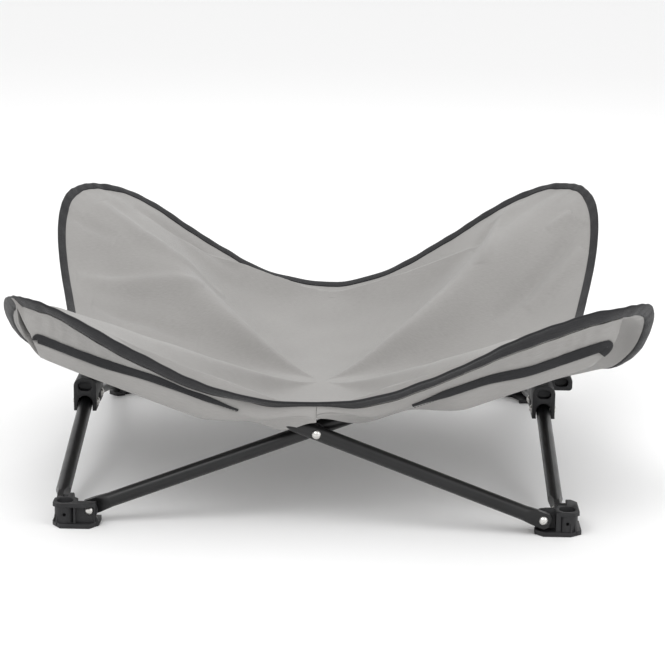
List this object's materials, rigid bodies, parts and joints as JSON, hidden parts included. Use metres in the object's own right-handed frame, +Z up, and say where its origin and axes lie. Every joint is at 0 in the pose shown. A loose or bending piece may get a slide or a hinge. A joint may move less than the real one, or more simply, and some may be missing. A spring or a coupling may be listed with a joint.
{
  "type": "raised dog cot",
  "caption": "Folding raised dog cot: a cloth sling with upturned corners on crossed tubes, hinged side links and moulded feet.",
  "frame": {"origin": "on the floor, midway between the four feet", "axes": "+X to the right along the front edge, +Y from the front to the rear, +Z up"},
  "size_m": [0.6728, 0.6392, 0.261],
  "materials": {
    "sling_cloth": "light grey woven polyester",
    "binding_tape": "charcoal woven tape",
    "coated_tube": "black powder coat",
    "moulded_plastic": "dark grey moulded nylon",
    "rivet_steel": "zinc plated steel"
  },
  "bodies": {
    "foot_front_left": {"foot_fl": "moulded_plastic", "foot_rivets_fl": "rivet_steel"},
    "front_tube_right": {"front_tube_rising_right": "coated_tube", "tube_cap_fr": "moulded_plastic", "front_cross_rivet": "rivet_steel", "front_cross_spacer": "moulded_plastic", "sling_fr": "sling_cloth", "edge_binding_fr": "binding_tape", "tube_pocket_fr": "sling_cloth", "pocket_binding_fr": "binding_tape"},
    "front_tube_left": {"front_tube_rising_left": "coated_tube", "tube_cap_fl": "moulded_plastic", "sling_fl": "sling_cloth", "edge_binding_fl": "binding_tape", "tube_pocket_fl": "sling_cloth", "pocket_binding_fl": "binding_tape"},
    "foot_front_right": {"foot_fr": "moulded_plastic", "foot_rivets_fr": "rivet_steel"},
    "link_front_left": {"side_link_fl": "coated_tube"},
    "hub_left": {"side_hub_left": "moulded_plastic", "hub_rivets_left": "rivet_steel"},
    "link_rear_left": {"side_link_rl": "coated_tube"},
    "foot_rear_left": {"foot_rl": "moulded_plastic", "foot_rivets_rl": "rivet_steel"},
    "rear_tube_right": {"rear_tube_rising_right": "coated_tube", "tube_cap_rr": "moulded_plastic", "rear_cross_rivet": "rivet_steel", "rear_cross_spacer": "moulded_plastic", "sling_rr": "sling_cloth", "edge_binding_rr": "binding_tape", "tube_pocket_rr": "sling_cloth", "pocket_binding_rr": "binding_tape"},
    "rear_tube_left": {"rear_tube_rising_left": "coated_tube", "tube_cap_rl": "moulded_plastic", "sling_rl": "sling_cloth", "edge_binding_rl": "binding_tape", "tube_pocket_rl": "sling_cloth", "pocket_binding_rl": "binding_tape"},
    "foot_rear_right": {"foot_rr": "moulded_plastic", "foot_rivets_rr": "rivet_steel"},
    "link_front_right": {"side_link_fr": "coated_tube"},
    "hub_right": {"side_hub_right": "moulded_plastic", "hub_rivets_right": "rivet_steel"},
    "link_rear_right": {"side_link_rr": "coated_tube"}
  },
  "joints": [
    {"name": "frame_fold", "type": "hinge", "parent": "foot_front_left", "child": "front_tube_right", "pos_m": [-0.2395, -0.25625, 0.017], "axis": [0, -1, 0], "range_deg": [0, 60], "deforming": ["sling_fl", "edge_binding_fl", "tube_pocket_fl", "pocket_binding_fl", "sling_fr", "edge_binding_fr", "tube_pocket_fr", "pocket_binding_fr", "sling_rl", "edge_binding_rl", "tube_pocket_rl", "pocket_binding_rl", "sling_rr", "edge_binding_rr", "tube_pocket_rr", "pocket_binding_rr"]},
    {"name": "front_cross", "type": "hinge", "parent": "front_tube_right", "child": "front_tube_left", "pos_m": [0, -0.265, 0.10846], "axis": [0, 1, 0], "range_deg": [0, 120]},
    {"name": "front_right_ankle", "type": "hinge", "parent": "front_tube_left", "child": "foot_front_right", "pos_m": [0.2395, -0.27375, 0.017], "axis": [0, -1, 0], "range_deg": [0, 60]},
    {"name": "left_front_ankle", "type": "hinge", "parent": "foot_front_left", "child": "link_front_left", "pos_m": [-0.27375, -0.2395, 0.017], "axis": [1, 0, 0], "range_deg": [0, 60]},
    {"name": "left_hub_front", "type": "hinge", "parent": "link_front_left", "child": "hub_left", "pos_m": [-0.27375, -0.0195, 0.0655], "axis": [-1, 0, 0], "range_deg": [0, 60]},
    {"name": "left_hub_rear", "type": "hinge", "parent": "hub_left", "child": "link_rear_left", "pos_m": [-0.27375, 0.0195, 0.0655], "axis": [-1, 0, 0], "range_deg": [0, 60]},
    {"name": "left_rear_ankle", "type": "hinge", "parent": "link_rear_left", "child": "foot_rear_left", "pos_m": [-0.27375, 0.2395, 0.017], "axis": [1, 0, 0], "range_deg": [0, 60]},
    {"name": "rear_left_ankle", "type": "hinge", "parent": "foot_rear_left", "child": "rear_tube_right", "pos_m": [-0.2395, 0.25625, 0.017], "axis": [0, -1, 0], "range_deg": [0, 60]},
    {"name": "rear_cross", "type": "hinge", "parent": "rear_tube_right", "child": "rear_tube_left", "pos_m": [0, 0.265, 0.10846], "axis": [0, 1, 0], "range_deg": [0, 120]},
    {"name": "rear_right_ankle", "type": "hinge", "parent": "rear_tube_left", "child": "foot_rear_right", "pos_m": [0.2395, 0.27375, 0.017], "axis": [0, -1, 0], "range_deg": [0, 60]},
    {"name": "right_front_ankle", "type": "hinge", "parent": "foot_front_right", "child": "link_front_right", "pos_m": [0.25625, -0.2395, 0.017], "axis": [1, 0, 0], "range_deg": [0, 60]},
    {"name": "right_hub_front", "type": "hinge", "parent": "link_front_right", "child": "hub_right", "pos_m": [0.25625, -0.0195, 0.0655], "axis": [-1, 0, 0], "range_deg": [0, 60]},
    {"name": "right_hub_rear", "type": "hinge", "parent": "hub_right", "child": "link_rear_right", "pos_m": [0.25625, 0.0195, 0.0655], "axis": [-1, 0, 0], "range_deg": [0, 60]}
  ],
  "couplings": [
    {"joint": "front_cross", "follows": "frame_fold", "ratio": 2},
    {"joint": "front_right_ankle", "follows": "frame_fold", "ratio": 1},
    {"joint": "left_front_ankle", "follows": "frame_fold", "ratio": 1},
    {"joint": "left_hub_front", "follows": "frame_fold", "ratio": 1},
    {"joint": "left_hub_rear", "follows": "frame_fold", "ratio": 1},
    {"joint": "left_rear_ankle", "follows": "frame_fold", "ratio": 1},
    {"joint": "rear_left_ankle", "follows": "frame_fold", "ratio": 1},
    {"joint": "rear_cross", "follows": "frame_fold", "ratio": 2},
    {"joint": "rear_right_ankle", "follows": "frame_fold", "ratio": 1},
    {"joint": "right_front_ankle", "follows": "frame_fold", "ratio": 1},
    {"joint": "right_hub_front", "follows": "frame_fold", "ratio": 1},
    {"joint": "right_hub_rear", "follows": "frame_fold", "ratio": 1}
  ]
}
